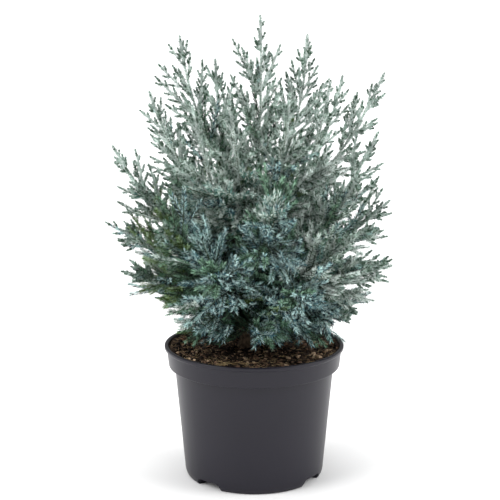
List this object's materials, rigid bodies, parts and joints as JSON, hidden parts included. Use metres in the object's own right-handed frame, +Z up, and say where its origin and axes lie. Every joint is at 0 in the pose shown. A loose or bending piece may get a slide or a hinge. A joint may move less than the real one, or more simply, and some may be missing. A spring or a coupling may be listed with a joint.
{
  "type": "potted blue sawara cypress",
  "caption": "Young blue-grey sawara cypress with a dense egg-shaped crown of upright feathery sprays, growing in a round black plastic nursery pot.",
  "frame": {"origin": "on the pot's axis, at the centre of its flat underside", "axes": "+Z up; -Y towards the viewer of the picture, +X to that viewer's right"},
  "size_m": [0.2975, 0.2846, 0.482],
  "materials": {
    "pot_plastic": "satin charcoal moulded plastic",
    "compost": "dark brown potting compost with bark chips and fibres",
    "bark": "brown-grey flaking bark",
    "foliage": "blue-green awl-shaped leaves with a silver bloom"
  },
  "bodies": {
    "root": {"bough_back_left": "bark", "bough_back_right": "bark", "bough_far_left": "bark", "bough_far_right": "bark", "bough_front_left": "bark", "bough_front_right": "bark", "bough_high_left": "bark", "bough_near_left": "bark", "bough_near_right": "bark", "bough_outer_right": "bark", "bough_rear": "bark", "bough_rear_left": "bark", "bough_tall_left": "bark", "bough_tall_right": "bark", "compost": "compost", "foliage_back_left": "foliage", "foliage_back_right": "foliage", "foliage_far_left": "foliage", "foliage_far_right": "foliage", "foliage_front_left": "foliage", "foliage_front_right": "foliage", "foliage_high_left": "foliage", "foliage_near_left": "foliage", "foliage_near_right": "foliage", "foliage_outer_right": "foliage", "foliage_rear": "foliage", "foliage_rear_left": "foliage", "foliage_shoulder_1": "foliage", "foliage_shoulder_10": "foliage", "foliage_shoulder_2": "foliage", "foliage_shoulder_3": "foliage", "foliage_shoulder_4": "foliage", "foliage_shoulder_5": "foliage", "foliage_shoulder_6": "foliage", "foliage_shoulder_7": "foliage", "foliage_shoulder_8": "foliage", "foliage_shoulder_9": "foliage", "foliage_skirt_1": "foliage", "foliage_skirt_2": "foliage", "foliage_skirt_3": "foliage", "foliage_skirt_4": "foliage", "foliage_skirt_5": "foliage", "foliage_skirt_6": "foliage", "foliage_skirt_7": "foliage", "foliage_skirt_8": "foliage", "foliage_tall_left": "foliage", "foliage_tall_right": "foliage", "foliage_top": "foliage", "foliage_waist_1": "foliage", "foliage_waist_10": "foliage", "foliage_waist_2": "foliage", "foliage_waist_3": "foliage", "foliage_waist_4": "foliage", "foliage_waist_5": "foliage", "foliage_waist_6": "foliage", "foliage_waist_7": "foliage", "foliage_waist_8": "foliage", "foliage_waist_9": "foliage", "pot": "pot_plastic", "trunk": "bark"}
  },
  "joints": []
}
